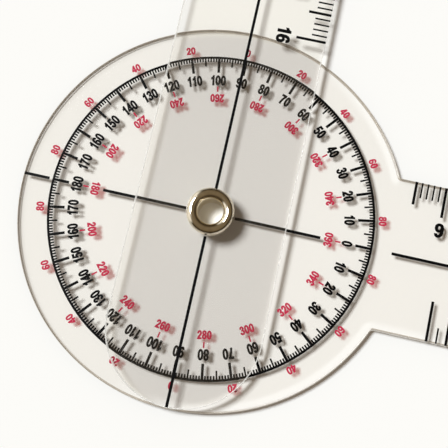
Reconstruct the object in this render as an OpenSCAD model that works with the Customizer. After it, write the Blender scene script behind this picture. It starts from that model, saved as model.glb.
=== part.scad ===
// Clear plastic angle finder: a dial plate with a fixed arm, a turning arm on top of it,
// and a hollow metal rivet that holds the two together. Sizes are in millimetres.
// The origin is on the rivet's axis, on the printed face of the dial. +X runs along the
// fixed arm, +Z points up, and angles go counter-clockwise from the fixed arm.

/* [Plates] */
// Radius of the dial disc
dial_r = 32; // [30:0.5:36]
// Width of both arms
arm_w = 25.4; // [23:0.2:28]
// Thickness of each plastic plate
plate_t = 1.25; // [1:0.05:1.5]
// Reach of the fixed arm from the pivot, where its scales start
fixed_reach = 127.2; // [125:0.1:240]
// Reach of the turning arm from the pivot, where its scales start
turning_reach = 192.6; // [192:0.1:240]
// Reach of the turning arm's round end on the other side of the pivot
turning_tail = 31.7; // [28:0.1:36]
// Radius of the corners at the far ends of the arms
corner_r = 3; // [1:0.5:6]
// Radius of the fillets where the fixed arm leaves the disc
neck_r = 0.6; // [0.5:0.1:2]
// Angle of the turning arm from the fixed arm
arm_angle = 90.4; // [0:0.1:359.9]
// Gap between the two plates
plate_gap = 0.1; // [0.1:0.05:0.2]

/* [Rivet] */
// Radius of the hole through the rivet
bore_r = 2.1; // [2:0.05:2.2]
// Thickness of the rivet's sheet metal
sheet_t = 0.3; // [0.2:0.05:0.3]
// Outer radius of the rolled head
head_r = 3.9; // [3.8:0.05:4]
// Radius of the head's highest ring
crest_r = 3; // [3:0.05:3.1]
// Height of the head above the turning arm
head_h = 2.15; // [2.15:0.05:2.6]
// Outer radius of the clinched foot
foot_r = 3.6; // [3.4:0.05:4]
// Radial room of the barrel in the plates
running_room = 0.05; // [0.02:0.01:0.1]

/* [Degree scale] */
// Outer radius of the printed circle
circle_r = 27.1; // [26:0.1:28]
// Width of the printed circle line
circle_w = 0.4; // [0.2:0.05:0.5]
// Inner radius of the 1 degree ticks
degree_tick_r = 26.15; // [25:0.05:26.2]
// Inner radius of the 5 degree ticks
five_tick_r = 25.35; // [24:0.05:26]
// Inner radius of the 10 degree ticks
ten_tick_r = 24.25; // [23:0.05:25]
// Width of the 1 and 5 degree ticks
degree_tick_w = 0.28; // [0.15:0.01:0.3]
// Width of the 10 degree ticks
ten_tick_w = 0.45; // [0.2:0.01:0.5]
// Inner radius of the short red ticks
red_tick_r = 20.85; // [19:0.05:21]
// Length of the short red ticks
red_tick_len = 0.95; // [0.5:0.05:1.5]
// Width of the short red ticks
red_tick_w = 0.25; // [0.15:0.01:0.3]

/* [Arm scales] */
// Width of the lines along the arms
line_w = 0.48; // [0.3:0.01:0.6]
// Width of the short ticks
short_tick_w = 0.28; // [0.2:0.01:0.4]
// Width of the medium and long ticks
long_tick_w = 0.45; // [0.3:0.01:0.6]
// Length of the 1, 5 and 10 millimetre ticks
cm_ticks = [2.6, 3.9, 5.1]; // [2:0.1:6]
// Length of the ticks at sixteenths, eighths, quarters, halves and whole inches
inch_ticks = [2.5, 3.85, 5.8, 6.5, 7.5]; // [2:0.05:8]
// Millimetres marked on the fixed arm
fixed_mm = 95; // [50:5:95]
// Millimetres marked on the turning arm
turning_mm = 160; // [100:5:160]
// Sixteenths of an inch marked on the fixed arm
fixed_sixteenths = 56; // [32:4:56]
// Sixteenths of an inch marked on the turning arm
turning_sixteenths = 96; // [64:4:96]
// Thickness of the printed ink
ink_t = 0.03; // [0.02:0.01:0.05]

/* [Hidden] */
$fn = 96;
inch = 25.4;
half_w = arm_w / 2;
arm_z = plate_gap;                    // underside of the turning arm
arm_top = arm_z + plate_t;            // printed face of the turning arm
head_base = arm_top + plate_gap / 2;  // underside of the rivet's head
head_top = arm_top + head_h;
barrel_hole_r = bore_r + sheet_t + running_room;
neck_sink = 0.01;                     // the fillets' ends sink this far into both edges
head_room = head_r + 0.1;             // where the lines stop short of the rivet's head
line_inner_r = 18.4;                  // outer end of the base line's two middle pieces
circle_room = 0.5;                    // gap between the base line and the circle
arm_line_start = circle_r + 3.2;      // start of the fixed arm's own line
rim_room = 0.1;                       // the lines stop this far short of an outer rim
end_room = 0.5;                       // the lines stop this far short of an arm's end
red_step = 20;                        // degrees from one red tick to the next
circle_fn = 360;                      // segments of the two large circles
clear = "gainsboro";
black_ink = [0.05, 0.05, 0.06];
red_ink = [0.75, 0.1, 0.2];

// Flat arm from the pivot's centre to x = reach, with two rounded far corners
module arm_outline(reach) {
    translate([0, -half_w]) square([reach - corner_r, arm_w]);
    translate([0, corner_r - half_w]) square([reach, arm_w - 2 * corner_r]);
    for (side = [-1, 1])
        translate([reach - corner_r, side * (half_w - corner_r)]) circle(corner_r);
}

// Fillet where one edge of the fixed arm leaves the disc, on the +Y side
module neck_fillet() {
    far = dial_r + neck_r - neck_sink;
    y = half_w + neck_r - neck_sink;
    x = sqrt(far * far - y * y);
    difference() {
        polygon([[dial_r / 2, 0], [x, 0], [x, y], [x, y] * dial_r / far]);
        translate([x, y]) circle(neck_r);
    }
}

// Round bore for the rivet's barrel through a plate between two heights
module barrel_hole(low, high) {
    translate([0, 0, low - 1]) cylinder(h = high - low + 2, r = barrel_hole_r);
}

module dial_plate() {
    color(clear, 0.4) difference() {
        translate([0, 0, -plate_t]) linear_extrude(plate_t) union() {
            circle(dial_r, $fn = circle_fn);
            arm_outline(fixed_reach);
            neck_fillet();
            mirror([0, 1]) neck_fillet();
        }
        barrel_hole(-plate_t, 0);
    }
}

module turning_arm() {
    tail_x = half_w - turning_tail;
    color(clear, 0.4) rotate(arm_angle) difference() {
        translate([0, 0, arm_z]) linear_extrude(plate_t) union() {
            arm_outline(turning_reach);
            translate([tail_x, -half_w]) square([-tail_x + 1, arm_w]);
            translate([tail_x, 0]) circle(half_w);
        }
        barrel_hole(arm_z, arm_top);
    }
}

// Quarter disc that fills x < 0 or x > 0 (side) and y > 0
module quarter(r, side) {
    intersection() {
        circle(r);
        translate([side < 0 ? -r : 0, 0]) square(r);
    }
}

// Half section of the rolled head from y = 0 to y = h, grown inwards by skin: up from the
// bore, over the crest, down the outside and in again underneath
module roll_section(h, skin) {
    curl_in = crest_r - bore_r;
    curl_out = head_r - crest_r;
    low = skin > 0 ? -1 : 0;
    translate([crest_r, h - curl_in]) quarter(curl_in - skin, -1);
    translate([crest_r, h - curl_out]) quarter(curl_out - skin, 1);
    translate([crest_r, curl_out]) mirror([0, 1]) quarter(curl_out - skin, 1);
    translate([bore_r + skin, low]) square([curl_in - skin, h - curl_in - low]);
    translate([crest_r, curl_out]) square([curl_out - skin, h - 2 * curl_out]);
}

// Half section of the foot: the barrel's end, bent outwards and pressed flat under the dial
module foot_section() {
    edge_r = sheet_t / 2;
    flat_in = bore_r + sheet_t;
    translate([flat_in, 0]) mirror([0, 1]) quarter(sheet_t, -1);
    translate([flat_in, -sheet_t]) square([foot_r - edge_r - flat_in, sheet_t]);
    translate([foot_r - edge_r, -edge_r]) circle(edge_r);
}

module hollow_rivet() {
    color([0.8, 0.74, 0.58]) rotate_extrude() {
        translate([0, head_base]) difference() {
            roll_section(head_top - head_base, 0);
            roll_section(head_top - head_base, sheet_t);
        }
        translate([0, -plate_t]) foot_section();
        translate([bore_r, -plate_t]) square([sheet_t, head_base + plate_t]);
    }
}

// Inner outline of the degree scale: the line's inner edge with a tooth at each degree
function tick_depth(a) = a % 10 == 0 ? ten_tick_r : a % 5 == 0 ? five_tick_r : degree_tick_r;
function tick_width(a) = a % 10 == 0 ? ten_tick_w : degree_tick_w;
function turned(p, a) = [p[0] * cos(a) - p[1] * sin(a), p[0] * sin(a) + p[1] * cos(a)];
function tick_corners(a) = let (
    w = tick_width(a) / 2,
    outer = circle_r - circle_w,
    inner = tick_depth(a)
) [for (p = [[outer, -w], [inner, -w], [inner, w], [outer, w]]) turned(p, a)];

module degree_scale() {
    color(black_ink) linear_extrude(ink_t) difference() {
        circle(circle_r, $fn = circle_fn);
        polygon([for (a = [0:359], p = tick_corners(a)) p]);
    }
}

module red_ticks() {
    color(red_ink) for (a = [0:red_step:359]) rotate(a)
        translate([red_tick_r, -red_tick_w / 2]) cube([red_tick_len, red_tick_w, ink_t]);
}

// Line along X between two distances from the pivot
module line_piece(from, to) {
    translate([from, -line_w / 2]) cube([to - from, line_w, ink_t]);
}

module base_line() {
    color(black_ink) {
        line_piece(head_room, line_inner_r);
        line_piece(-line_inner_r, -head_room);
        line_piece(rim_room - dial_r, -circle_r - circle_room);
        line_piece(arm_line_start, fixed_reach - end_room);
    }
}

// Row of ticks that run in from the edge y = side * half_w of an arm
module tick_row(reach, side, x_step, count, kind, lengths) {
    for (i = [1:count]) {
        k = kind(i);
        w = k == 0 ? short_tick_w : long_tick_w;
        len = lengths[k];
        translate([reach - i * x_step - w / 2, side > 0 ? half_w - len : -half_w])
            cube([w, len, ink_t]);
    }
}

cm_kind = function (i) i % 10 == 0 ? 2 : i % 5 == 0 ? 1 : 0;
inch_kind = function (i)
    i % 16 == 0 ? 4 : i % 8 == 0 ? 3 : i % 4 == 0 ? 2 : i % 2 == 0 ? 1 : 0;

module fixed_cm_scale() {
    color(black_ink) tick_row(fixed_reach, 1, 1, fixed_mm, cm_kind, cm_ticks);
}

module fixed_inch_scale() {
    color(black_ink)
        tick_row(fixed_reach, -1, inch / 16, fixed_sixteenths, inch_kind, inch_ticks);
}

// Moves its children onto the printed face of the turning arm
module on_turning_arm() {
    rotate(arm_angle) translate([0, 0, arm_top]) children();
}

module index_line() {
    color(black_ink) on_turning_arm() {
        line_piece(head_room, turning_reach - end_room);
        line_piece(rim_room - turning_tail, -head_room);
    }
}

module turning_cm_scale() {
    color(black_ink) on_turning_arm()
        tick_row(turning_reach, -1, 1, turning_mm, cm_kind, cm_ticks);
}

module turning_inch_scale() {
    color(black_ink) on_turning_arm()
        tick_row(turning_reach, 1, inch / 16, turning_sixteenths, inch_kind, inch_ticks);
}

dial_plate();
turning_arm();
hollow_rivet();
degree_scale();
red_ticks();
base_line();
fixed_cm_scale();
fixed_inch_scale();
index_line();
turning_cm_scale();
turning_inch_scale();
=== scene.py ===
"""Clear plastic angle finder: the looks of its plates, rivet, printed scales and numerals."""
import math

import bmesh
import bpy
from bpy.props import FloatProperty, FloatVectorProperty, IntProperty, PointerProperty
from mathutils import Matrix, Vector


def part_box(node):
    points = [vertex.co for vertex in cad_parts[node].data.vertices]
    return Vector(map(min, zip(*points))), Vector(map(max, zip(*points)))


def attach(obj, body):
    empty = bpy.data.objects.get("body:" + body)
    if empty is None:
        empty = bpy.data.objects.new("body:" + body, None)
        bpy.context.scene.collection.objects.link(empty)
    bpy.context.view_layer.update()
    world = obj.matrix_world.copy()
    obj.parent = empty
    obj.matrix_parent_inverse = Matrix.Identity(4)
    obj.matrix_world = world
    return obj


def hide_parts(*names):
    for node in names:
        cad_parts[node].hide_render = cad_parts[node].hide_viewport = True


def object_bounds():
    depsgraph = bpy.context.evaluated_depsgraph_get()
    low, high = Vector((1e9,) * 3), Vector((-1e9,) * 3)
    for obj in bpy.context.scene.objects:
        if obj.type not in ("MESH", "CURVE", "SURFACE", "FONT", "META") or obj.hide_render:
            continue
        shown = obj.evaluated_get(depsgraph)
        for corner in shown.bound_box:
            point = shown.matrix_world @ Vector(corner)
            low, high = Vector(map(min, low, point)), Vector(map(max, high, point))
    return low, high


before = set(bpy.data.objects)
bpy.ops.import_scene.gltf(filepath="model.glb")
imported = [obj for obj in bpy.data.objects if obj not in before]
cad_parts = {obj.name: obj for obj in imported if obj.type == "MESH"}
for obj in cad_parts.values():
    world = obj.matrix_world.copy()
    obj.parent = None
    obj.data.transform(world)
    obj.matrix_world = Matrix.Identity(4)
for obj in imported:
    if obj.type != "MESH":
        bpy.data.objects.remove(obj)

bl_info = {
    "name": "Angle Finder Looks",
    "version": (1, 0, 0),
    "blender": (4, 5, 0),
    "location": "View3D > Sidebar > Angle Finder",
    "description": "Builds the clear plates, hollow rivet and printed scales of an angle finder",
    "category": "Object",
}

MM = 0.001
CAD_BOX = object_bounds()
DIAL_LOW, DIAL_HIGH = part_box("dial_plate")
ARM_LOW, ARM_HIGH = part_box("turning_arm")
RIVET_LOW, RIVET_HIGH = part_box("hollow_rivet")
INK_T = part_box("base_line")[1].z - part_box("base_line")[0].z
BLACK_INK_NODES = (
    "degree_scale",
    "base_line",
    "fixed_cm_scale",
    "fixed_inch_scale",
    "index_line",
    "turning_cm_scale",
    "turning_inch_scale",
)
RED_INK_NODES = ("red_ticks",)
INCH = 25.4 * MM

# Names of the plates' vertex attributes: how far an edge faces away from the lamp, and 0 at the
# foot of a cut edge and 1 at its top.
LIT_STRIP = "lit_strip"
WALL_RISE = "wall_rise"

# Steps of the arcs, and the sharpest edge that is shaded smooth, in degrees.
ARC_STEP = 2
CORNER_STEP = 10
FILLET_STEP = 12
HOLE_STEP = 4
ROLL_STEP = 7.5
FOOT_STEP = 3 * ROLL_STEP
SHARP_EDGE = 40

# The two steps of a softened edge, inwards and down, as shares of its width.
EDGE_STEPS = ((0.3, 0.7), (0.7, 0.3))

# Least Z of the normals of a plate's upper or lower side, and of a face that counts as flat.
CAP_RISE = 0.9
FLAT_RISE = 0.99

# Distance within which corners are one: in metres, and in heights of a digit.
MERGE = 1e-7
DIGIT_MERGE = 1e-5

# Steps of a digit's outline from one point to the next, and the camera's nearest sight.
CURVE_STEPS = 2
NEAR_CLIP = 10 * MM

# Each finish: its grain's fine scale, cloud scale and bump, and the range of its roughness.
CLEAR_FINISH = ((900.0, 45.0, 0.02), (0.01, 0.04))
EDGE_FINISH = ((6000.0, 300.0, 0.05), (0.2, 0.35))
INK_FINISH = ((9000.0, 700.0, 0.25), (0.45, 0.6))
METAL_FINISH = ((2500.0, 500.0, 0.12), (0.05, 0.13))
PLASTIC_IOR = 1.49
INK_SHINE = 0.06
PAPER_SHINE = 0.1
PAPER_ROUGHNESS = 0.95
FINE_DETAIL = 3.0
CLOUD_DETAIL = 4.0
BUMP_DEPTH = 0.00002

# Spans of a value over which a colour changes into another one.
CLOUD_SPAN = (0.3, 0.7)
WEAR_SPAN = (0.5, 0.8)
WEAR = (0.0, 0.5)
DULL_SPAN = (0.45, 0.75)
DULLNESS = (0.0, 0.6)
# Radius over which the painted shade, where the turning arm lies over the dial, fades out.
OVERLAP_SHADE_EDGE = (31.8 * MM, 32.2 * MM)
STRIP_FADE = (0.0, 0.3)
LIT_EDGE = (0.48, 0.85)
FLAT_RIM = (0.4, 0.8)
BACKDROP_TOP = (0.3, 0.5)
GLOOM_TOP = (0.45, 0.85)
WINDOW_CORE = 0.75

# The band of a cut edge's height where it turns clear, and how clear it is below and above.
DIAL_BAND = ((0.25, 0.35), (0.0, 1.0))
ARM_BAND = ((0.35, 0.45), (1.0, 0.4))

# Degrees from one numeral to the next, and the last numeral of each scale on the arms.
BLACK_EVERY = 10
RED_EVERY = 20
FIXED_LAST = {"cm": 9, "inch": 3}
TURNING_LAST = {"cm": 16, "inch": 5}


# ---------------------------------------------------------------- what a user may change


def length(name, text, default):
    """A length in metres, shown as a distance."""
    return FloatProperty(
        name=name, description=text, default=default, unit="LENGTH", subtype="DISTANCE"
    )


def place_at(name, text, default):
    """A place in metres."""
    return FloatVectorProperty(
        name=name, description=text, default=default, unit="LENGTH", subtype="TRANSLATION"
    )


def turn(name, text, degrees):
    """An angle that is written in degrees."""
    angle = math.radians(degrees)
    return FloatProperty(
        name=name, description=text, default=angle, unit="ROTATION", subtype="ANGLE"
    )


def share(name, text, default):
    """A share from 0 to 1."""
    return FloatProperty(
        name=name, description=text, default=default, min=0.0, max=1.0, subtype="FACTOR"
    )


def amount(name, text, default):
    """A plain number."""
    return FloatProperty(name=name, description=text, default=default)


def paint(name, text, default):
    """A linear colour."""
    return FloatVectorProperty(
        name=name, description=text, default=default, size=3, min=0.0, max=1.0, subtype="COLOR"
    )


class PlateSizes(bpy.types.PropertyGroup):
    """Sizes of the two clear plates."""

    dial_radius: length("Dial radius", "Radius of the dial disc", -DIAL_LOW.x)
    fixed_reach: length("Fixed reach", "From the pivot to the fixed arm's end", DIAL_HIGH.x)
    arm_width: length("Arm width", "Width of both arms", 25.4 * MM)
    turning_reach: length("Turning reach", "From the pivot to the turning arm's end", 192.6 * MM)
    turning_tail: length("Turning tail", "From the pivot to the round end", 31.7 * MM)
    corner_radius: length("Corner radius", "Radius of the far corners", 3 * MM)
    neck_radius: length("Neck radius", "Fillet where the arm leaves the disc", 0.6 * MM)
    hole_radius: length("Hole radius", "Holes for the rivet's barrel", 2.45 * MM)
    edge_round: length("Edge rounding", "Width of the softened edges", 0.08 * MM)
    strip_width: length("Strip width", "Strip lit by an edge away from the lamp", 1.4 * MM)
    # Painted shade: the dial's flat rims take its dark edge colour, which stands in for the shade
    # line along its edge.
    dial_frost: length("Dial frost", "Dull line around the dial's underside", 0.18 * MM)
    hair_line: length("Hair line", "Dull line around the dial's upper side", 0.02 * MM)
    # Painted highlight: a near-white line along the turning arm's cut edge stands in for the glow
    # of its edge.
    arm_frost: length("Arm frost", "Frosted line along the turning arm's cut edge", 0.1 * MM)
    arm_angle: turn("Arm angle", "Turning arm from the fixed arm at rest", 90.4)


class RivetSizes(bpy.types.PropertyGroup):
    """Sizes of the hollow rivet."""

    bore_radius: length("Bore radius", "Radius of the hole through the rivet", 2.1 * MM)
    sheet: length("Sheet", "Thickness of the metal", 0.3 * MM)
    head_radius: length("Head radius", "Outer radius of the rolled head", RIVET_HIGH.x)
    crest_radius: length("Crest radius", "Radius of the head's highest ring", 3.0 * MM)
    foot_radius: length("Foot radius", "Outer radius of the clinched foot", 3.6 * MM)
    head_gap: length("Head gap", "Room between the turning arm and the head", 0.05 * MM)
    segments: IntProperty(
        name="Segments", description="Steps of the full turn", default=128, min=24
    )


class NumeralSizes(bpy.types.PropertyGroup):
    """Sizes and places of the printed numerals."""

    black_height: length("Black height", "Height of the dial's black numerals", 1.68 * MM)
    black_foot: length("Black foot", "Radius at the foot of the black numerals", 22.03 * MM)
    black_condense: share("Black condense", "Width of the black digits beside full ones", 0.75)
    inner_height: length("Inner red height", "Height of the inner red numerals", 1.33 * MM)
    inner_foot: length("Inner red foot", "Radius at the foot of the inner red numerals", 20.4 * MM)
    inner_condense: share("Inner condense", "Width of the inner digits beside full ones", 0.82)
    outer_height: length("Outer red height", "Height of the outer red numerals", 1.22 * MM)
    outer_foot: length("Outer red foot", "Radius at the foot of the outer red numerals", 27.7 * MM)
    outer_condense: share("Outer condense", "Width of the outer digits beside full ones", 0.9)
    dial_weight: share("Dial weight", "Boldness of the dial's digits, by their height", 0.036)
    arm_weight: share("Arm weight", "Boldness of the arms' digits, by their height", 0.034)
    arm_height: length("Arm height", "Height of the numerals along the arms", 2.25 * MM)
    arm_gap: length("Arm gap", "From a tick's inner end to its numeral", 1.05 * MM)
    cm_tick: length("Centimetre tick", "Length of the whole centimetre ticks", 5.1 * MM)
    inch_tick: length("Inch tick", "Length of the whole inch ticks", 7.5 * MM)


class FinishColours(bpy.types.PropertyGroup):
    """Colours of the materials."""

    clear: paint("Clear plastic", "Tint of the clear plastic", (0.995, 0.99, 0.98))
    dial_shade: paint("Dial shade", "Light through one face of the dial", (0.992, 0.982, 0.966))
    arm_shade: paint("Arm shade", "Light through one face of the arm", (1.0, 0.992, 0.97))
    # Painted shade: the turning arm lets less light through where it lies over the dial.
    rub_shade: paint("Rub shade", "The same where the dial hazes the arm", (0.889, 0.888, 0.894))
    # Painted shade: the dial's cut edge and rims are dark, standing in for the shade line along
    # its edge.
    dial_edge: paint("Dial edge", "The dial's cut edge from outside", (0.55, 0.5, 0.43))
    dial_edge_in: paint("Dial edge, inside", "The same through the plate", (0.55, 0.49, 0.42))
    dial_edge_clear: share("Dial edge clearness", "How clear the dial's cut edge is", 0.2)
    # Painted highlight: the arm's cut edge and its rims are near white.
    arm_edge: paint("Arm edge", "The turning arm's frosted cut edge", (0.95, 0.94, 0.91))
    arm_edge_clear: share("Arm edge clearness", "How clear the arm's cut edge is", 0.5)
    # Painted light: on edges that face away from the lamp the inside colour turns pale, and the
    # strip inside them passes extra light.
    edge_lit: paint("Lit edge", "Cut edges where the plate's light falls", (1.0, 0.98, 0.95))
    strip_gain: amount("Strip gain", "Light on the strip inside an edge away from the lamp", 1.12)
    edge_in: paint("Edge shade in", "Light that enters a cut edge", (0.08, 0.07, 0.06))
    edge_clear: paint("Edge shade, clear", "Light that enters its clear part", (0.9, 0.89, 0.87))
    edge_out: paint("Edge shade out", "Light that leaves by a cut edge", (0.1, 0.08, 0.06))
    metal: paint("Rivet metal", "Warm plated brass", (0.87, 0.79, 0.64))
    metal_dark: paint("Rivet metal, dull", "Where the plating has dulled", (0.52, 0.43, 0.3))
    black: paint("Black ink", "Printed black", (0.0008, 0.0008, 0.001))
    black_worn: paint("Worn black", "Speckle of the black ink", (0.004, 0.004, 0.0045))
    black_shade: paint("Black shade", "Light through the black ink", (0.2, 0.17, 0.15))
    red: paint("Red ink", "Printed crimson", (0.54, 0.03, 0.075))
    red_worn: paint("Worn red", "Speckle of the red ink", (0.66, 0.1, 0.15))
    red_shade: paint("Red shade", "Light through the red ink", (0.62, 0.28, 0.3))
    paper: paint("Paper", "The plain pale floor", (0.97, 0.963, 0.949))
    lamp: paint("Lamp", "Colour of the lamp", (0.966, 0.994, 1.0))
    room: paint("Room", "Warm light from all round", (1.0, 0.83, 0.67))
    room_dim: paint("Dim room", "What metal reflects away from the window", (0.18, 0.137, 0.084))
    room_low: paint("Dim room, low down", "The same, low down", (0.05, 0.036, 0.02))
    window: paint("Window", "What the metal reflects of the window", (1.0, 0.98, 0.93))


class StageSettings(bpy.types.PropertyGroup):
    """Camera, lamps and floor."""

    camera_place: place_at(
        "Camera place", "Where the camera stands", (10.65 * MM, -18.9 * MM, 127.27 * MM)
    )
    camera_target: place_at(
        "Camera target", "The point that the camera looks at", (5.53 * MM, 3.33 * MM, 0.0)
    )
    camera_roll: turn("Camera roll", "Roll about the line of sight", -12.8)
    lens: amount("Lens", "Focal length in millimetres", 62.77)
    shift_x: amount("Shift across", "Shift of the lens to the right", -0.054)
    shift_y: amount("Shift up", "Shift of the lens upwards", -0.05)
    sun_azimuth: turn("Sun azimuth", "Where the light comes from, from +X towards +Y", 160)
    sun_height: turn("Sun height", "Height of the light above the floor", 60)
    sun_spread: turn("Sun spread", "Apparent size of the light, which softens shadows", 18)
    sun_strength: amount("Sun strength", "Strength of the lamp", 3.2)
    fill: amount("Fill", "Strength of the light from all round", 0.16)
    window_azimuth: turn("Window azimuth", "Where the reflected window's middle is", 172)
    window_height: turn("Window height", "Height of the reflected window's middle", 15)
    window_spread: turn("Window spread", "From the window's middle to where it has faded", 46)
    floor_size: length("Floor size", "Side of the square floor", 6.0)


# ---------------------------------------------------------------- node helpers


class Graph:
    """Adds and joins nodes in one node tree."""

    def __init__(self, tree):
        self.tree = tree

    def add(self, kind, **values):
        node = self.tree.nodes.new(kind)
        for key, value in values.items():
            setattr(node, key, value)
        return node

    def join(self, source, target):
        self.tree.links.new(source, target)


def new_group(name, inputs, outputs):
    """An empty shader node group with named sockets."""
    tree = bpy.data.node_groups.new(name, "ShaderNodeTree")
    for label, kind, default in inputs:
        socket = tree.interface.new_socket(label, in_out="INPUT", socket_type=kind)
        socket.default_value = default
    for label, kind in outputs:
        tree.interface.new_socket(label, in_out="OUTPUT", socket_type=kind)
    graph = Graph(tree)
    return graph, graph.add("NodeGroupInput"), graph.add("NodeGroupOutput")


def grain_group():
    """Fine speckle and soft clouding for printed and plated surfaces: a mask and a bent normal."""
    if "Surface Grain" in bpy.data.node_groups:
        return bpy.data.node_groups["Surface Grain"]
    graph, given, out = new_group(
        "Surface Grain",
        [
            ("Fine Scale", "NodeSocketFloat", 4000.0),
            ("Cloud Scale", "NodeSocketFloat", 120.0),
            ("Bump", "NodeSocketFloat", 0.1),
        ],
        [
            ("Speckle", "NodeSocketFloat"),
            ("Cloud", "NodeSocketFloat"),
            ("Normal", "NodeSocketVector"),
        ],
    )
    place = graph.add("ShaderNodeTexCoord")
    fine = graph.add("ShaderNodeTexNoise", noise_dimensions="3D")
    fine.inputs["Detail"].default_value = FINE_DETAIL
    cloud = graph.add("ShaderNodeTexNoise", noise_dimensions="3D")
    cloud.inputs["Detail"].default_value = CLOUD_DETAIL
    bump = graph.add("ShaderNodeBump")
    bump.inputs["Distance"].default_value = BUMP_DEPTH
    graph.join(place.outputs["Object"], fine.inputs["Vector"])
    graph.join(place.outputs["Object"], cloud.inputs["Vector"])
    graph.join(given.outputs["Fine Scale"], fine.inputs["Scale"])
    graph.join(given.outputs["Cloud Scale"], cloud.inputs["Scale"])
    graph.join(given.outputs["Bump"], bump.inputs["Strength"])
    graph.join(fine.outputs["Fac"], bump.inputs["Height"])
    graph.join(fine.outputs["Fac"], out.inputs["Speckle"])
    graph.join(cloud.outputs["Fac"], out.inputs["Cloud"])
    graph.join(bump.outputs["Normal"], out.inputs["Normal"])
    return graph.tree


def new_material(name):
    """A material with only its output node."""
    material = bpy.data.materials.new(name)
    material.use_nodes = True
    material.node_tree.nodes.clear()
    graph = Graph(material.node_tree)
    return material, graph, graph.add("ShaderNodeOutputMaterial")


def mapped(graph, source, from_range, to_range=(0.0, 1.0)):
    """Maps a value from one range to another."""
    node = graph.add("ShaderNodeMapRange")
    labels = ("From Min", "From Max", "To Min", "To Max")
    for label, value in zip(labels, (*from_range, *to_range)):
        node.inputs[label].default_value = value
    graph.join(source, node.inputs["Value"])
    return node.outputs["Result"]


def mixed(graph, first, second, factor):
    """Mixes two linear colours, each of which is a colour or another node's output."""
    node = graph.add("ShaderNodeMix", data_type="RGBA")
    for label, colour in (("A", first), ("B", second)):
        if isinstance(colour, bpy.types.NodeSocket):
            graph.join(colour, node.inputs[label])
        else:
            node.inputs[label].default_value = (*colour, 1.0)
    graph.join(factor, node.inputs["Factor"])
    return node.outputs["Result"]


def grained(graph, surface, finish):
    """Gives a surface the uneven roughness and bent normal of its finish; returns the grain."""
    scales, roughness = finish
    grain = graph.add("ShaderNodeGroup", node_tree=grain_group())
    for label, value in zip(("Fine Scale", "Cloud Scale", "Bump"), scales):
        grain.inputs[label].default_value = value
    uneven = mapped(graph, grain.outputs["Cloud"], CLOUD_SPAN, roughness)
    graph.join(uneven, surface.inputs["Roughness"])
    graph.join(grain.outputs["Normal"], surface.inputs["Normal"])
    return grain


def pivot_distance(graph):
    """Distance from the pivot's axis."""
    place = graph.add("ShaderNodeTexCoord")
    flat = graph.add("ShaderNodeVectorMath", operation="MULTIPLY")
    flat.inputs[1].default_value = (1.0, 1.0, 0.0)
    distance = graph.add("ShaderNodeVectorMath", operation="LENGTH")
    graph.join(place.outputs["Object"], flat.inputs[0])
    graph.join(flat.outputs["Vector"], distance.inputs[0])
    return distance.outputs["Value"]


def light_passes(graph, surface, shade, out):
    """Shows a surface to the eye, but light to and from the floor goes straight through it.

    shade tints that light; it is a colour or another node's output.
    """
    through = graph.add("ShaderNodeBsdfTransparent")
    if isinstance(shade, bpy.types.NodeSocket):
        graph.join(shade, through.inputs["Color"])
    else:
        through.inputs["Color"].default_value = (*shade, 1.0)
    rays = graph.add("ShaderNodeLightPath")
    either = graph.add("ShaderNodeMath", operation="MAXIMUM")
    mix = graph.add("ShaderNodeMixShader")
    graph.join(rays.outputs["Is Shadow Ray"], either.inputs[0])
    graph.join(rays.outputs["Is Diffuse Ray"], either.inputs[1])
    graph.join(either.outputs["Value"], mix.inputs["Fac"])
    graph.join(surface.outputs["BSDF"], mix.inputs[1])
    graph.join(through.outputs["BSDF"], mix.inputs[2])
    graph.join(mix.outputs["Shader"], out.inputs["Surface"])


# ---------------------------------------------------------------- materials


def clear_material(name, colours, shade, rub_shade):
    """Clear plastic that refracts what is behind it and lets most light through to the floor."""
    material, graph, out = new_material(name)
    plastic = graph.add("ShaderNodeBsdfPrincipled")
    plastic.inputs["Base Color"].default_value = (*colours.clear, 1.0)
    plastic.inputs["Transmission Weight"].default_value = 1.0
    plastic.inputs["IOR"].default_value = PLASTIC_IOR
    grained(graph, plastic, CLEAR_FINISH)
    # Painted shade: less light passes the arm where it lies over the dial.
    overlap_shade = mixed(graph, rub_shade, shade, mapped(graph, pivot_distance(graph), OVERLAP_SHADE_EDGE))
    # Painted light: the strip inside an edge that faces away from the lamp lets more light through
    # than the plate does.
    strip = graph.add("ShaderNodeAttribute", attribute_name=LIT_STRIP)
    gain = [colours.strip_gain] * 3
    lit = mixed(graph, overlap_shade, gain, mapped(graph, strip.outputs["Fac"], STRIP_FADE))
    light_passes(graph, plastic, lit, out)
    return material


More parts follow.
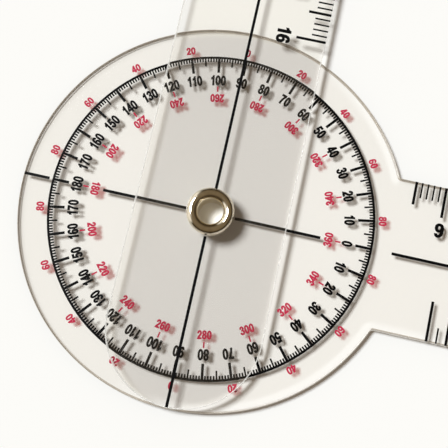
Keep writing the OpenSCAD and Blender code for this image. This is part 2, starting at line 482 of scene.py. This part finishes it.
def edge_material(name, colours, band, outer, inner, clearness):
    """Cut edges of the plates: they dim light that enters in a band of their height, or leaves.

    outer is their colour from outside and inner the one through the plate.
    """
    material, graph, out = new_material(name)
    side = graph.add("ShaderNodeNewGeometry")
    within = side.outputs["Backfacing"]
    strip = graph.add("ShaderNodeAttribute", attribute_name=LIT_STRIP)
    # Painted light: the inside colour turns pale on edges that face away from the lamp.
    back = mixed(graph, inner, colours.edge_lit, mapped(graph, strip.outputs["Fac"], LIT_EDGE))
    plastic = graph.add("ShaderNodeBsdfPrincipled")
    graph.join(mixed(graph, outer, back, within), plastic.inputs["Base Color"])
    plastic.inputs["Transmission Weight"].default_value = clearness
    plastic.inputs["IOR"].default_value = PLASTIC_IOR
    grained(graph, plastic, EDGE_FINISH)
    rise = graph.add("ShaderNodeAttribute", attribute_name=WALL_RISE)
    clear_part = mapped(graph, rise.outputs["Fac"], *band)
    entry = mixed(graph, colours.edge_in, colours.edge_clear, clear_part)
    shade = mixed(graph, colours.edge_out, entry, within)
    tilt = graph.add("ShaderNodeSeparateXYZ")
    graph.join(side.outputs["Normal"], tilt.inputs["Vector"])
    flat = graph.add("ShaderNodeMath", operation="ABSOLUTE")
    graph.join(tilt.outputs["Z"], flat.inputs[0])
    rim = mapped(graph, flat.outputs["Value"], FLAT_RIM)
    light_passes(graph, plastic, mixed(graph, shade, colours.edge_clear, rim), out)
    return material


def ink_material(name, colour, worn, shade):
    """Screen-printed ink: flat colour with a slight speckle and an uneven gloss."""
    material, graph, out = new_material(name)
    ink = graph.add("ShaderNodeBsdfPrincipled")
    ink.inputs["Specular IOR Level"].default_value = INK_SHINE
    grain = grained(graph, ink, INK_FINISH)
    wear = mapped(graph, grain.outputs["Speckle"], WEAR_SPAN, WEAR)
    graph.join(mixed(graph, colour, worn, wear), ink.inputs["Base Color"])
    light_passes(graph, ink, shade, out)
    return material


def metal_material(name, colours):
    """Warm plated metal, polished, with duller patches."""
    material, graph, out = new_material(name)
    metal = graph.add("ShaderNodeBsdfPrincipled")
    metal.inputs["Metallic"].default_value = 1.0
    grain = grained(graph, metal, METAL_FINISH)
    dull = mapped(graph, grain.outputs["Cloud"], DULL_SPAN, DULLNESS)
    graph.join(mixed(graph, colours.metal, colours.metal_dark, dull), metal.inputs["Base Color"])
    graph.join(metal.outputs["BSDF"], out.inputs["Surface"])
    return material


def paper_material(colour):
    """Plain matt paper for the floor."""
    material, graph, out = new_material("plain_paper")
    paper = graph.add("ShaderNodeBsdfPrincipled")
    paper.inputs["Base Color"].default_value = (*colour, 1.0)
    paper.inputs["Roughness"].default_value = PAPER_ROUGHNESS
    paper.inputs["Specular IOR Level"].default_value = PAPER_SHINE
    graph.join(paper.outputs["BSDF"], out.inputs["Surface"])
    return material


def material_named(name):
    """One of the object's materials, made the first time that it is asked for."""
    if name in bpy.data.materials:
        return bpy.data.materials[name]
    paints = bpy.context.scene.finish_colours
    if name == "clear_dial":
        return clear_material(name, paints, paints.dial_shade, paints.dial_shade)
    if name == "clear_arm":
        return clear_material(name, paints, paints.arm_shade, paints.rub_shade)
    # The dial's edge colours are painted shade; the arm's are a painted highlight.
    if name == "clear_dial_edge":
        outer, inner = paints.dial_edge, paints.dial_edge_in
        return edge_material(name, paints, DIAL_BAND, outer, inner, paints.dial_edge_clear)
    if name == "clear_arm_edge":
        outer = inner = paints.arm_edge
        return edge_material(name, paints, ARM_BAND, outer, inner, paints.arm_edge_clear)
    if name == "black_print":
        return ink_material(name, paints.black, paints.black_worn, paints.black_shade)
    if name == "crimson_print":
        return ink_material(name, paints.red, paints.red_worn, paints.red_shade)
    if name == "plated_brass":
        return metal_material(name, paints)
    raise ValueError(f"no material is called {name}")


# ---------------------------------------------------------------- mesh helpers


def arc(centre, radius, start, end, step=ARC_STEP):
    """Points on an arc, from one angle to another in degrees."""
    count = max(1, round(abs(end - start) / step))
    angles = [math.radians(start + (end - start) * i / count) for i in range(count + 1)]
    return [Vector(centre) + radius * Vector((math.cos(a), math.sin(a))) for a in angles]


def far_end(reach, half, corner):
    """The +Y half of an arm's far end, with its rounded corner."""
    rounded = arc((reach - corner, half - corner), corner, 0, 90, CORNER_STEP)
    return [Vector((reach, 0.0))] + rounded


def dial_outline(sizes):
    """The +Y half of the dial's outline, from the fixed arm's far end round to -X."""
    half = sizes.arm_width / 2
    far = sizes.dial_radius + sizes.neck_radius
    y = half + sizes.neck_radius
    x = math.sqrt(far * far - y * y)
    neck = math.degrees(math.atan2(y, x))
    fillet = arc((x, y), sizes.neck_radius, -90, neck - 180, FILLET_STEP)
    disc = arc((0, 0), sizes.dial_radius, neck, 180)
    return far_end(sizes.fixed_reach, half, sizes.corner_radius) + fillet + disc[1:]


def arm_outline(sizes):
    """The +Y half of the turning arm's outline along +X, from its far end round its tail."""
    half = sizes.arm_width / 2
    tail = arc((half - sizes.turning_tail, 0), half, 90, 180)
    return far_end(sizes.turning_reach, half, sizes.corner_radius) + tail


def inset(bm, cap, width, depth=0.0):
    """Draws a cap's faces inwards and out of the plate; returns the band of faces around them."""
    band = bmesh.ops.inset_region(
        bm, faces=cap, thickness=width, depth=depth, use_boundary=True, use_even_offset=True
    )
    return band["faces"]


def plate_mesh(outline, sizes, rim_widths, heading, low, high):
    """A flat plate with a round hole, softened edges, and its walls and rims in material 1.

    rim_widths are the widths of its flat rims of edge material above and below, which paint shade
    along the dial's edge and a highlight along the arm's, and heading is where the light goes.
    """
    bm = bmesh.new()
    rounding = sizes.edge_round
    wall_low, wall_high = low + rounding, high - rounding
    points = outline + arc((0, 0), sizes.hole_radius, 180, 0, HOLE_STEP)
    bm.faces.new([bm.verts.new((p.x, p.y, wall_low)) for p in points])
    geom = list(bm.verts) + list(bm.edges) + list(bm.faces)
    bmesh.ops.mirror(bm, geom=geom, axis="Y", merge_dist=MERGE)
    bmesh.ops.recalc_face_normals(bm, faces=bm.faces)
    raised = bmesh.ops.extrude_face_region(bm, geom=list(bm.faces), use_keep_orig=True)["geom"]
    upper = [v for v in raised if isinstance(v, bmesh.types.BMVert)]
    bmesh.ops.translate(bm, vec=(0, 0, wall_high - wall_low), verts=upper)
    bmesh.ops.recalc_face_normals(bm, faces=bm.faces)
    rims = []
    strip = bm.verts.layers.float.new(LIT_STRIP)
    rise = bm.verts.layers.float.new(WALL_RISE)
    for vert in bm.verts:
        outward = vert.normal.to_2d().normalized()
        vert[strip] = max(0.0, outward.dot(heading))
        vert[rise] = 1.0 if vert.co.z > (low + high) / 2 else 0.0
    for side, rim_width in zip((1, -1), rim_widths):
        cap = [f for f in bm.faces if f.normal.z * side > CAP_RISE]
        for inward, down in EDGE_STEPS:
            inset(bm, cap, inward * rounding, down * rounding)
        rims += inset(bm, cap, rim_width)
        if side < 0:
            inset(bm, cap, sizes.strip_width)
        for vert in {v for f in cap for v in f.verts}:
            vert[strip] = 0.0
    bm.normal_update()
    for face in bm.faces:
        face.material_index = 0 if abs(face.normal.z) > FLAT_RISE else 1
        face.smooth = face.material_index == 1
    for face in rims:
        face.material_index = 1
    return bm


def finished_piece(name, bm, body, materials, stands_for=()):
    """Turns a bmesh into a piece of the object that rides on a body."""
    mesh = bpy.data.meshes.new(name)
    bm.to_mesh(mesh)
    bm.free()
    for material in materials:
        mesh.materials.append(material_named(material))
    piece = bpy.data.objects.new(name, mesh)
    bpy.context.scene.collection.objects.link(piece)
    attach(piece, body)
    if stands_for:
        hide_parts(*stands_for)
    return piece


# ---------------------------------------------------------------- numerals

DIGIT_WIDTH = 0.62
DIGIT_STEP = 0.72
ONE_STEP = 0.66
ONE_NUDGE = -0.03


def turned_over(loop):
    """A loop of a digit after half a turn in the digit's box."""
    return [(DIGIT_WIDTH - x, 1.0 - y, smooth) for x, y, smooth in loop]


# Outlines of the digits in a box one unit high: loops of points, where a third value of 0
# makes a corner and 1 a smooth point. The first loop is the digit and the others its holes.
ZERO_OUT = [(0.31, 1.01, 1), (0.56, 0.84, 1), (0.62, 0.5, 1), (0.56, 0.16, 1)]
ZERO_IN = [(0.31, 0.85, 1), (0.405, 0.74, 1), (0.43, 0.5, 1), (0.405, 0.26, 1)]
SIX = [
    [
        (0.6, 0.77, 0), (0.53, 0.94, 1), (0.33, 1.01, 1), (0.09, 0.87, 1), (0.0, 0.48, 1),
        (0.07, 0.1, 1), (0.32, -0.01, 1), (0.54, 0.08, 1), (0.62, 0.31, 1), (0.54, 0.53, 1),
        (0.35, 0.62, 1), (0.19, 0.54, 0), (0.235, 0.78, 1), (0.33, 0.85, 1), (0.4, 0.83, 1),
        (0.43, 0.76, 0),
    ],
    [
        (0.315, 0.47, 1), (0.4, 0.42, 1), (0.43, 0.31, 1), (0.4, 0.185, 1),
        (0.315, 0.14, 1), (0.225, 0.19, 1), (0.195, 0.31, 1), (0.225, 0.42, 1),
    ],
]
DIGITS = {
    "0": [ZERO_OUT + turned_over(ZERO_OUT), ZERO_IN + turned_over(ZERO_IN)],
    "1": [
        [
            (0.24, 0.0, 0), (0.43, 0.0, 0), (0.43, 1.0, 0), (0.28, 1.0, 0), (0.2, 0.86, 1),
            (0.06, 0.78, 0), (0.06, 0.61, 0), (0.15, 0.65, 1), (0.24, 0.72, 0),
        ]
    ],
    "2": [
        [
            (0.0, 0.0, 0), (0.61, 0.0, 0), (0.61, 0.17, 0), (0.29, 0.17, 0), (0.45, 0.36, 1),
            (0.58, 0.54, 1), (0.61, 0.72, 1), (0.53, 0.93, 1), (0.32, 1.01, 1), (0.1, 0.93, 1),
            (0.02, 0.69, 0), (0.21, 0.67, 0), (0.245, 0.81, 1), (0.315, 0.85, 1), (0.395, 0.81, 1),
            (0.42, 0.71, 1), (0.37, 0.57, 1), (0.13, 0.3, 1),
        ]
    ],
    "3": [
        [
            (0.0, 0.26, 0), (0.1, 0.06, 1), (0.31, -0.01, 1), (0.53, 0.07, 1), (0.62, 0.29, 1),
            (0.575, 0.45, 1), (0.46, 0.53, 0), (0.565, 0.62, 1), (0.59, 0.75, 1), (0.51, 0.93, 1),
            (0.31, 1.01, 1), (0.11, 0.93, 1), (0.02, 0.73, 0), (0.2, 0.7, 0), (0.235, 0.81, 1),
            (0.31, 0.85, 1), (0.38, 0.81, 1), (0.4, 0.72, 1), (0.36, 0.63, 1), (0.24, 0.6, 0),
            (0.22, 0.44, 0), (0.33, 0.455, 1), (0.405, 0.4, 1), (0.43, 0.29, 1), (0.4, 0.185, 1),
            (0.31, 0.145, 1), (0.225, 0.19, 1), (0.19, 0.29, 0),
        ]
    ],
    "4": [
        [
            (0.35, 0.0, 0), (0.54, 0.0, 0), (0.54, 0.2, 0), (0.65, 0.2, 0), (0.65, 0.36, 0),
            (0.54, 0.36, 0), (0.54, 1.0, 0), (0.36, 1.0, 0), (-0.02, 0.37, 0), (-0.02, 0.2, 0),
            (0.35, 0.2, 0),
        ],
        [(0.35, 0.36, 0), (0.16, 0.36, 0), (0.35, 0.69, 0)],
    ],
    "5": [
        [
            (0.0, 0.26, 0), (0.1, 0.06, 1), (0.31, -0.01, 1), (0.53, 0.08, 1), (0.62, 0.34, 1),
            (0.54, 0.57, 1), (0.34, 0.67, 1), (0.21, 0.635, 0), (0.235, 0.83, 0), (0.58, 0.83, 0),
            (0.58, 1.0, 0), (0.1, 1.0, 0), (0.02, 0.46, 0), (0.18, 0.44, 0), (0.3, 0.51, 1),
            (0.39, 0.47, 1), (0.43, 0.33, 1), (0.39, 0.19, 1), (0.31, 0.145, 1), (0.225, 0.19, 1),
            (0.19, 0.29, 0),
        ]
    ],
    "6": SIX,
    "7": [
        [
            (0.02, 1.0, 0), (0.61, 1.0, 0), (0.61, 0.86, 0), (0.45, 0.6, 1), (0.35, 0.3, 1),
            (0.325, 0.0, 0), (0.13, 0.0, 0), (0.165, 0.31, 1), (0.265, 0.6, 1), (0.39, 0.83, 0),
            (0.02, 0.83, 0),
        ]
    ],
    "8": [
        [
            (0.31, 1.01, 1), (0.52, 0.94, 1), (0.595, 0.75, 1), (0.555, 0.61, 1), (0.46, 0.53, 0),
            (0.58, 0.44, 1), (0.62, 0.28, 1), (0.53, 0.06, 1), (0.31, -0.01, 1), (0.09, 0.06, 1),
            (0.0, 0.28, 1), (0.04, 0.44, 1), (0.16, 0.53, 0), (0.065, 0.61, 1), (0.025, 0.75, 1),
            (0.1, 0.94, 1),
        ],
        [
            (0.31, 0.86, 1), (0.385, 0.82, 1), (0.41, 0.735, 1), (0.385, 0.65, 1), (0.31, 0.61, 1),
            (0.235, 0.65, 1), (0.21, 0.735, 1), (0.235, 0.82, 1),
        ],
        [
            (0.31, 0.45, 1), (0.4, 0.4, 1), (0.43, 0.29, 1), (0.4, 0.18, 1), (0.31, 0.14, 1),
            (0.22, 0.18, 1), (0.19, 0.29, 1), (0.22, 0.4, 1),
        ],
    ],
    "9": [turned_over(loop) for loop in SIX],
}


def digit_mesh(digit, condense, weight):
    """The mesh of one digit, one unit high and one unit thick, made from its outline curve."""
    name = f"digit_{digit}_{condense:.2f}_{weight:.3f}"
    if name in bpy.data.meshes:
        return bpy.data.meshes[name]
    curve = bpy.data.curves.new("outline", "CURVE")
    curve.dimensions = "2D"
    curve.fill_mode = "BOTH"
    curve.extrude = 0.5
    curve.resolution_u = CURVE_STEPS
    curve.offset = weight
    for loop in DIGITS[digit]:
        spline = curve.splines.new("BEZIER")
        spline.bezier_points.add(len(loop) - 1)
        spline.use_cyclic_u = True
        for point, (x, y, smooth) in zip(spline.bezier_points, loop):
            point.co = (x * condense, y, 0.0)
            point.handle_left_type = point.handle_right_type = "AUTO" if smooth else "VECTOR"
    holder = bpy.data.objects.new("outline", curve)
    bpy.context.scene.collection.objects.link(holder)
    bpy.context.view_layer.update()
    evaluated = holder.evaluated_get(bpy.context.evaluated_depsgraph_get())
    mesh = bpy.data.meshes.new_from_object(evaluated)
    bpy.data.objects.remove(holder)
    bpy.data.curves.remove(curve)
    bm = bmesh.new()
    bm.from_mesh(mesh)
    bmesh.ops.remove_doubles(bm, verts=bm.verts, dist=DIGIT_MERGE)
    bmesh.ops.dissolve_degenerate(bm, edges=bm.edges, dist=DIGIT_MERGE)
    bmesh.ops.recalc_face_normals(bm, faces=bm.faces)
    bm.to_mesh(mesh)
    bm.free()
    mesh.materials.clear()
    mesh.name = name
    return mesh


def digit_step(digit):
    """Room that a digit takes in a number set one unit high."""
    return ONE_STEP if digit == "1" else DIGIT_STEP


def add_number(bm, text, place, height, condense=1.0, weight=0.0):
    """Adds a number to bm, centred on place: its foot on place's X axis and up along its Y."""
    size = Matrix.Diagonal((height, height, INK_T, 1.0))
    x = (DIGIT_STEP - DIGIT_WIDTH - sum(digit_step(digit) for digit in text)) / 2
    for digit in text:
        before = len(bm.verts)
        bm.from_mesh(digit_mesh(digit, condense, weight))
        bm.verts.ensure_lookup_table()
        nudge = ONE_NUDGE if digit == "1" else 0.0
        matrix = place @ size @ Matrix.Translation(((x - nudge) * condense, 0, 0.5))
        bmesh.ops.transform(bm, matrix=matrix, verts=bm.verts[before:])
        x += digit_step(digit)


def on_dial(degrees, radius, outward):
    """A place on the dial at an angle and radius, with up pointing outward or to the centre."""
    return (
        Matrix.Rotation(math.radians(degrees), 4, "Z")
        @ Matrix.Translation((radius, 0, DIAL_HIGH.z))
        @ Matrix.Rotation(math.radians(-90 if outward else 90), 4, "Z")
    )


# ---------------------------------------------------------------- operators


class ANGLE_OT_plates(bpy.types.Operator):
    """Build the clear dial plate and the clear turning arm"""

    bl_idname = "angle_finder.plates"
    bl_label = "Clear Plates"

    def execute(self, context):
        sizes = context.scene.plate_sizes
        away = context.scene.stage_settings.sun_azimuth + math.pi
        heading = Vector((math.cos(away), math.sin(away)))
        # The dial's rims are painted shade and the arm's are a painted highlight.
        rim_widths = (sizes.hair_line, sizes.dial_frost)
        dial = plate_mesh(dial_outline(sizes), sizes, rim_widths, heading, DIAL_LOW.z, DIAL_HIGH.z)
        finishes = ["clear_dial", "clear_dial_edge"]
        finished_piece("clear_dial_plate", dial, "dial", finishes, ["dial_plate"])
        rim_widths = (sizes.arm_frost, sizes.arm_frost)
        turned = Matrix.Rotation(sizes.arm_angle, 3, "Z")
        heading = (turned.inverted() @ heading.to_3d()).to_2d()
        arm = plate_mesh(arm_outline(sizes), sizes, rim_widths, heading, ARM_LOW.z, ARM_HIGH.z)
        finishes = ["clear_arm", "clear_arm_edge"]
        bmesh.ops.rotate(arm, cent=(0, 0, 0), matrix=turned, verts=arm.verts)
        finished_piece("clear_turning_arm", arm, "arm", finishes, ["turning_arm"])
        return {"FINISHED"}


def roll_over(sizes, base, top, skin):
    """Points (radius, height) over the rolled head: from the bore over the crest and under it."""
    crest = sizes.crest_radius
    curl_in = crest - sizes.bore_radius
    curl_out = sizes.head_radius - crest
    return (
        arc((crest, top - curl_in), curl_in - skin, 180, 90, ROLL_STEP)
        + arc((crest, top - curl_out), curl_out - skin, 90, 0, ROLL_STEP)
        + arc((crest, base + curl_out), curl_out - skin, 0, -90, ROLL_STEP)
    )


def rivet_section(sizes):
    """The closed section (radius, height) of the sheet metal, over the head and back."""
    base = ARM_HIGH.z + sizes.head_gap
    skin = sizes.sheet
    edge = skin / 2
    barrel = sizes.bore_radius + skin
    bend = arc((barrel, DIAL_LOW.z), skin, 270, 180, ROLL_STEP)
    rim = arc((sizes.foot_radius - edge, RIVET_LOW.z + edge), edge, 90, -90, FOOT_STEP)
    outside = roll_over(sizes, base, RIVET_HIGH.z, 0.0)
    inside = roll_over(sizes, base, RIVET_HIGH.z, skin)
    return bend + outside + inside[::-1] + [Vector((barrel, DIAL_LOW.z))] + rim


class ANGLE_OT_rivet(bpy.types.Operator):
    """Build the hollow rivet by spinning the section of its rolled sheet metal"""

    bl_idname = "angle_finder.rivet"
    bl_label = "Hollow Rivet"

    def execute(self, context):
        sizes = context.scene.rivet_sizes
        bm = bmesh.new()
        verts = [bm.verts.new((p.x, 0, p.y)) for p in rivet_section(sizes)]
        edges = [bm.edges.new(pair) for pair in zip(verts, verts[1:] + verts[:1])]
        bmesh.ops.spin(
            bm,
            geom=verts + edges,
            cent=(0, 0, 0),
            axis=(0, 0, 1),
            angle=math.tau,
            steps=sizes.segments,
            use_merge=True,
        )
        bmesh.ops.remove_doubles(bm, verts=bm.verts, dist=MERGE)
        bmesh.ops.recalc_face_normals(bm, faces=bm.faces)
        for face in bm.faces:
            face.smooth = True
        piece = finished_piece(
            "hollow_rivet_metal", bm, "dial", ["plated_brass"], ["hollow_rivet"]
        )
        piece.data.set_sharp_from_angle(angle=math.radians(SHARP_EDGE))
        return {"FINISHED"}


class ANGLE_OT_prints(bpy.types.Operator):
    """Give the printed circle, ticks and lines their ink"""

    bl_idname = "angle_finder.prints"
    bl_label = "Printed Lines"

    def execute(self, context):
        inks = {"black_print": BLACK_INK_NODES, "crimson_print": RED_INK_NODES}
        for material, nodes in inks.items():
            for node in nodes:
                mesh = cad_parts[node].data
                mesh.materials.clear()
                mesh.materials.append(material_named(material))
        return {"FINISHED"}


class ANGLE_OT_dial_numerals(bpy.types.Operator):
    """Print the dial's black numerals and its two rings of red ones"""

    bl_idname = "angle_finder.dial_numerals"
    bl_label = "Dial Numerals"

    def execute(self, context):
        sizes = context.scene.numeral_sizes
        weight = sizes.dial_weight
        black, inner, outer = bmesh.new(), bmesh.new(), bmesh.new()
        black_style = (sizes.black_height, sizes.black_condense, weight)
        inner_style = (sizes.inner_height, sizes.inner_condense, weight)
        outer_style = (sizes.outer_height, sizes.outer_condense, weight)
        for angle in range(0, 360, BLACK_EVERY):
            value = min(angle, 360 - angle)
            add_number(black, str(value), on_dial(angle, sizes.black_foot, True), *black_style)
            if angle % RED_EVERY == 0:
                place = on_dial(angle, sizes.inner_foot, False)
                add_number(inner, str(360 - value), place, *inner_style)
            from_top = min(abs(value - 90), 90)
            if from_top % RED_EVERY == 0:
                place = on_dial(angle, sizes.outer_foot, True)
                add_number(outer, str(from_top), place, *outer_style)
        finished_piece("degree_numerals", black, "dial", ["black_print"])
        finished_piece("inner_red_numerals", inner, "dial", ["crimson_print"])
        finished_piece("outer_red_numerals", outer, "dial", ["crimson_print"])
        return {"FINISHED"}


class ANGLE_OT_arm_numerals(bpy.types.Operator):
    """Print the centimetre and inch numerals along both arms"""

    bl_idname = "angle_finder.arm_numerals"
    bl_label = "Arm Numerals"

    def execute(self, context):
        plates = context.scene.plate_sizes
        on_plate = Matrix.Translation((0, 0, DIAL_HIGH.z))
        on_arm = Matrix.Translation((0, 0, ARM_HIGH.z))
        turned = Matrix.Rotation(plates.arm_angle, 4, "Z") @ on_arm
        fixed = (plates.fixed_reach, on_plate, False, FIXED_LAST)
        turning = (plates.turning_reach, turned, True, TURNING_LAST)
        self.row(context, "fixed_cm_numerals", "dial", fixed, 1, "cm")
        self.row(context, "fixed_inch_numerals", "dial", fixed, -1, "inch")
        self.row(context, "turning_cm_numerals", "arm", turning, -1, "cm")
        self.row(context, "turning_inch_numerals", "arm", turning, 1, "inch")
        return {"FINISHED"}

    def row(self, context, name, body, arm, side, unit):
        """One row of numerals inside the ticks of one edge; side is the edge's sign along Y.

        The turning arm's numerals are flipped: their feet point to the other side.
        """
        sizes = context.scene.numeral_sizes
        reach, matrix, flipped, last = arm
        step = 10 * MM if unit == "cm" else INCH
        tick = sizes.cm_tick if unit == "cm" else sizes.inch_tick
        far_side = context.scene.plate_sizes.arm_width / 2 - tick - sizes.arm_gap
        foot = far_side - sizes.arm_height if side > 0 else -far_side
        if flipped:
            foot += sizes.arm_height
        facing = Matrix.Rotation(math.pi if flipped else 0.0, 4, "Z")
        bm = bmesh.new()
        for value in range(1, last[unit] + 1):
            place = matrix @ Matrix.Translation((reach - value * step, foot, 0)) @ facing
            add_number(bm, str(value), place, sizes.arm_height, weight=sizes.arm_weight)
        finished_piece(name, bm, body, ["black_print"])


def direction(azimuth, height):
    """Unit vector towards an azimuth and a height, both as angles."""
    flat = math.cos(height)
    return Vector((flat * math.cos(azimuth), flat * math.sin(azimuth), math.sin(height)))


class ANGLE_OT_stage(bpy.types.Operator):
    """Set the pale floor, the soft light and the camera"""

    bl_idname = "angle_finder.stage"
    bl_label = "Stage"

    def execute(self, context):
        settings = context.scene.stage_settings
        self.floor(context, settings)
        self.light(context, settings)
        self.camera(context, settings)
        context.scene.view_settings.view_transform = "Standard"
        return {"FINISHED"}

    def floor(self, context, settings):
        """A large plane just under the object."""
        bm = bmesh.new()
        place = Matrix.Translation((0, 0, CAD_BOX[0].z))
        half = settings.floor_size / 2
        bmesh.ops.create_grid(bm, x_segments=1, y_segments=1, size=half, matrix=place)
        mesh = bpy.data.meshes.new("paper_floor")
        bm.to_mesh(mesh)
        bm.free()
        mesh.materials.append(paper_material(context.scene.finish_colours.paper))
        floor = bpy.data.objects.new("paper_floor", mesh)
        context.scene.collection.objects.link(floor)

    def light(self, context, settings):
        """One soft lamp from the upper left and an even light from all round."""
        colours = context.scene.finish_colours
        lamp = bpy.data.lights.new("window_light", "SUN")
        lamp.energy = settings.sun_strength
        lamp.color = colours.lamp
        lamp.angle = settings.sun_spread
        holder = bpy.data.objects.new("window_light", lamp)
        towards = direction(settings.sun_azimuth, settings.sun_height)
        holder.rotation_mode = "QUATERNION"
        holder.rotation_quaternion = towards.to_track_quat("Z", "Y")
        holder.location = towards
        context.scene.collection.objects.link(holder)
        context.scene.world = self.room(settings, colours)

    def room(self, settings, colours):
        """A warm room: even light for matt surfaces, a window for gloss, and white for the eye."""
        world = bpy.data.worlds.new("soft_room")
        world.cycles.sampling_method = "NONE"
        world.use_nodes = True
        world.node_tree.nodes.clear()
        graph = Graph(world.node_tree)
        even = graph.add("ShaderNodeBackground")
        even.inputs["Color"].default_value = (*colours.room, 1.0)
        even.inputs["Strength"].default_value = settings.fill
        white = graph.add("ShaderNodeBackground")
        place = graph.add("ShaderNodeTexCoord")
        view = place.outputs["Generated"]
        window = direction(settings.window_azimuth, settings.window_height)
        towards = graph.add("ShaderNodeVectorMath", operation="DOT_PRODUCT")
        towards.inputs[1].default_value = window
        graph.join(view, towards.inputs[0])
        spread = settings.window_spread
        fade = (math.cos(spread), math.cos(spread * WINDOW_CORE))
        level = graph.add("ShaderNodeSeparateXYZ")
        graph.join(view, level.inputs["Vector"])
        rise = level.outputs["Z"]
        gloom = mixed(graph, colours.room_low, colours.room_dim, mapped(graph, rise, GLOOM_TOP))
        near = mapped(graph, towards.outputs["Value"], fade)
        gloss = graph.add("ShaderNodeBackground")
        graph.join(mixed(graph, gloom, colours.window, near), gloss.inputs["Color"])
        rays = graph.add("ShaderNodeLightPath")
        past = graph.add("ShaderNodeMath", operation="MULTIPLY")
        graph.join(rays.outputs["Is Transmission Ray"], past.inputs[0])
        graph.join(mapped(graph, rise, BACKDROP_TOP, (1.0, 0.0)), past.inputs[1])
        seen = graph.add("ShaderNodeMath", operation="MAXIMUM")
        graph.join(rays.outputs["Is Camera Ray"], seen.inputs[0])
        graph.join(past.outputs["Value"], seen.inputs[1])
        bright = graph.add("ShaderNodeMath", operation="MAXIMUM")
        graph.join(rays.outputs["Is Glossy Ray"], bright.inputs[0])
        graph.join(rays.outputs["Is Transmission Ray"], bright.inputs[1])
        shiny = graph.add("ShaderNodeMixShader")
        graph.join(bright.outputs["Value"], shiny.inputs["Fac"])
        graph.join(even.outputs["Background"], shiny.inputs[1])
        graph.join(gloss.outputs["Background"], shiny.inputs[2])
        direct = graph.add("ShaderNodeMixShader")
        graph.join(seen.outputs["Value"], direct.inputs["Fac"])
        graph.join(shiny.outputs["Shader"], direct.inputs[1])
        graph.join(white.outputs["Background"], direct.inputs[2])
        out = graph.add("ShaderNodeOutputWorld")
        graph.join(direct.outputs["Shader"], out.inputs["Surface"])
        return world

    def camera(self, context, settings):
        """The camera above the dial, rolled so that the fixed arm points right and down."""
        data = bpy.data.cameras.new("camera")
        data.lens = settings.lens
        data.shift_x = settings.shift_x
        data.shift_y = settings.shift_y
        data.clip_start = NEAR_CLIP
        place = Vector(settings.camera_place)
        ahead = (Vector(settings.camera_target) - place).normalized()
        level = ahead.cross(Vector((0, 1, 0))).normalized()
        steep = level.cross(ahead)
        up = steep * math.cos(settings.camera_roll) + level * math.sin(settings.camera_roll)
        right = ahead.cross(up)
        holder = bpy.data.objects.new("camera", data)
        facing = Matrix((right, up, -ahead)).transposed().to_4x4()
        holder.matrix_world = Matrix.Translation(place) @ facing
        context.scene.collection.objects.link(holder)
        context.scene.camera = holder


class ANGLE_PT_panel(bpy.types.Panel):
    """The sidebar list of the steps"""

    bl_idname = "ANGLE_PT_panel"
    bl_label = "Angle Finder"
    bl_space_type = "VIEW_3D"
    bl_region_type = "UI"
    bl_category = "Angle Finder"

    def draw(self, context):
        for step in STEPS:
            self.layout.operator(step.bl_idname)


STEPS = (
    ANGLE_OT_stage,
    ANGLE_OT_plates,
    ANGLE_OT_rivet,
    ANGLE_OT_prints,
    ANGLE_OT_dial_numerals,
    ANGLE_OT_arm_numerals,
)
GROUPS = {
    "plate_sizes": PlateSizes,
    "rivet_sizes": RivetSizes,
    "numeral_sizes": NumeralSizes,
    "finish_colours": FinishColours,
    "stage_settings": StageSettings,
}


def register():
    for group in GROUPS.values():
        bpy.utils.register_class(group)
    for step in (*STEPS, ANGLE_PT_panel):
        bpy.utils.register_class(step)
    for name, group in GROUPS.items():
        setattr(bpy.types.Scene, name, PointerProperty(type=group))


def unregister():
    for name in GROUPS:
        delattr(bpy.types.Scene, name)
    for step in reversed((*STEPS, ANGLE_PT_panel)):
        bpy.utils.unregister_class(step)
    for group in reversed(GROUPS.values()):
        bpy.utils.unregister_class(group)


def main():
    register()
    bpy.ops.angle_finder.stage()
    bpy.ops.angle_finder.plates()
    bpy.ops.angle_finder.rivet()
    bpy.ops.angle_finder.prints()
    bpy.ops.angle_finder.dial_numerals()
    bpy.ops.angle_finder.arm_numerals()


if __name__ == "__main__":
    main()
